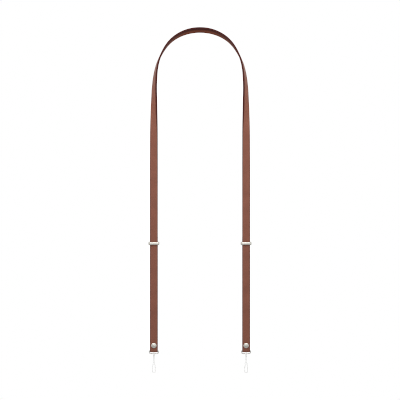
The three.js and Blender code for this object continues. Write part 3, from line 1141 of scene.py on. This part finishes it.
class LANYARD_OT_strings(bpy.types.Operator):
    """Tie a loop of laid string to each ring"""

    bl_idname = "lanyard.strings"
    bl_label = "String Loops"

    def execute(self, context):
        string = context.scene.lanyard_string
        fittings = context.scene.lanyard_fittings
        nylon = material_named("white_nylon", nylon_material, string.colour)
        for side in SIDES:
            bar = lower_bar(side, fittings.wire_radius)
            line = string_line(bar)
            loop = self.make_cord(f"string_loop_{side}", line, string, string.diameter / 2, nylon)
            hitch = self.make_hitch(side, bar, string, nylon)
            dress(loop, f"ring_{side}", f"string_{side}")
            dress(hitch, f"ring_{side}", f"hitch_{side}")
        return {"FINISHED"}

    def make_cord(self, name, line, string, radius, nylon):
        sizes = {"Radius": radius, "Plies": string.plies, "Groove": string.groove}
        return bake(row_object(name, laid_rows(line, string.lay)), laid_string, sizes, nylon)

    def make_hitch(self, side, bar, string, nylon):
        radius = string.whipping_radius
        foot = Vector((bar.x, bar.y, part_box(f"hitch_{side}")[0].z + radius))
        turns = whipping_line(foot, bar - UP * KNOT_HEAD, string.whipping_turns)
        eye = self.make_cord(f"eye_{side}", eye_line(bar), string, string.diameter / 2, nylon)
        knot = self.make_cord(f"knot_{side}", turns, string, radius, nylon)
        return joined(f"string_hitch_{side}", [eye, knot])


class LANYARD_OT_strap(bpy.types.Operator):
    """Sweep the leather strap over the arch and fold its ends round the rings"""

    bl_idname = "lanyard.strap"
    bl_label = "Leather Strap"

    def execute(self, context):
        strap = context.scene.lanyard_strap
        fittings = context.scene.lanyard_fittings
        stud = middle("stud_left")
        low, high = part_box("stud_left")
        # The flesh and arch sizes paint shade: they carry the front edge's dark colour further
        sizes = {
            "Width": strap.width, "Thickness": strap.thickness, "Edge Radius": strap.edge_radius,
            "Edge Dye": strap.edge_dye, "Flesh Dye": strap.flesh_dye, "Arch Dye": strap.arch_dye,
            "Crown": strap.crown, "Dent": strap.dent, "Stud Radius": (high.x - low.x) / 2,
            "Stud Aside": abs(stud.x), "Stud Height": stud.z, "Stud Depth": stud.y,
            "Hole Radius": fittings.stud_post_radius + POST_CLEARANCE,
        }
        leather = material_named("brown_leather", leather_material, strap)
        piece = bake(row_object("leather_strap", strap_rows(strap)), strap_sweep, sizes, leather)
        dress(piece, "strap", "strap")
        return {"FINISHED"}


class LANYARD_OT_keepers(bpy.types.Operator):
    """Bend a domed band round each doubled end"""

    bl_idname = "lanyard.keepers"
    bl_label = "Slide Keepers"

    def execute(self, context):
        fittings = context.scene.lanyard_fittings
        nickel = material_named("polished_nickel", nickel_material, fittings.colour, fittings.roughness)
        wall = fittings.keeper_wall
        corners = (fittings.keeper_corner, fittings.keeper_corner)
        for side in SIDES:
            low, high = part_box(f"keeper_{side}")
            rows = rounded_rows(low, high, BACK, wall, corners)
            piece = row_object(f"slide_keeper_{side}", rows, closed=True)
            bake(piece, keeper_band, {"Wall": wall, "Height": high.z - low.z}, nickel)
            dress(piece, f"keeper_{side}", f"keeper_{side}")
        return {"FINISHED"}


class LANYARD_OT_studs(bpy.types.Operator):
    """Turn the domed stud that rivets each end"""

    bl_idname = "lanyard.studs"
    bl_label = "Domed Studs"

    def execute(self, context):
        strap = context.scene.lanyard_strap
        fittings = context.scene.lanyard_fittings
        nickel = material_named("polished_nickel", nickel_material, fittings.colour, fittings.roughness)
        for side in SIDES:
            low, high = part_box(f"stud_{side}")
            centre = (low + high) / 2
            profile = stud_profile(fittings, strap, low, high)
            axis_point = Vector((centre.x, 0, centre.z))
            piece = turned(f"domed_stud_{side}", profile, axis_point, BACK, UP, nickel)
            dress(piece, "strap", f"stud_{side}")
        return {"FINISHED"}


class LANYARD_OT_rings(bpy.types.Operator):
    """Bend the wire ring in the fold of each end"""

    bl_idname = "lanyard.rings"
    bl_label = "Wire Rings"

    def execute(self, context):
        fittings = context.scene.lanyard_fittings
        bright = material_named(
            "bright_nickel_wire", nickel_material, fittings.wire_colour, fittings.roughness)
        radius = fittings.wire_radius
        corners = (fittings.upper_corner, fittings.lower_corner)
        for side in SIDES:
            rows = rounded_rows(*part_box(f"ring_{side}"), UP, radius, corners)
            piece = row_object(f"wire_ring_{side}", rows, closed=True)
            bake(piece, wire, {"Radius": radius}, bright)
            dress(piece, f"ring_{side}", f"ring_{side}")
        return {"FINISHED"}


class LANYARD_PT_panel(bpy.types.Panel):
    """Settings and steps of the lanyard"""

    bl_idname = "LANYARD_PT_panel"
    bl_label = "Phone Lanyard"
    bl_space_type = "VIEW_3D"
    bl_region_type = "UI"
    bl_category = "Lanyard"

    def draw(self, context):
        for name in SETTINGS:
            box = self.layout.box()
            settings = getattr(context.scene, name)
            for field in settings.__annotations__:
                box.prop(settings, field)
        for operator in OPERATORS:
            self.layout.operator(operator.bl_idname)


SETTINGS = {
    "lanyard_stage": StageSettings,
    "lanyard_string": StringSettings,
    "lanyard_strap": StrapSettings,
    "lanyard_fittings": FittingSettings,
}
OPERATORS = (
    LANYARD_OT_stage,
    LANYARD_OT_strings,
    LANYARD_OT_strap,
    LANYARD_OT_keepers,
    LANYARD_OT_studs,
    LANYARD_OT_rings,
)


def register():
    for item in (*SETTINGS.values(), *OPERATORS, LANYARD_PT_panel):
        bpy.utils.register_class(item)
    for name, group in SETTINGS.items():
        setattr(bpy.types.Scene, name, PointerProperty(type=group))


def unregister():
    for name in SETTINGS:
        delattr(bpy.types.Scene, name)
    for item in (LANYARD_PT_panel, *reversed(OPERATORS), *reversed(SETTINGS.values())):
        bpy.utils.unregister_class(item)


def main():
    register()
    bpy.ops.lanyard.stage()
    bpy.ops.lanyard.strings()
    bpy.ops.lanyard.strap()
    bpy.ops.lanyard.keepers()
    bpy.ops.lanyard.studs()
    bpy.ops.lanyard.rings()


if __name__ == "__main__":
    main()
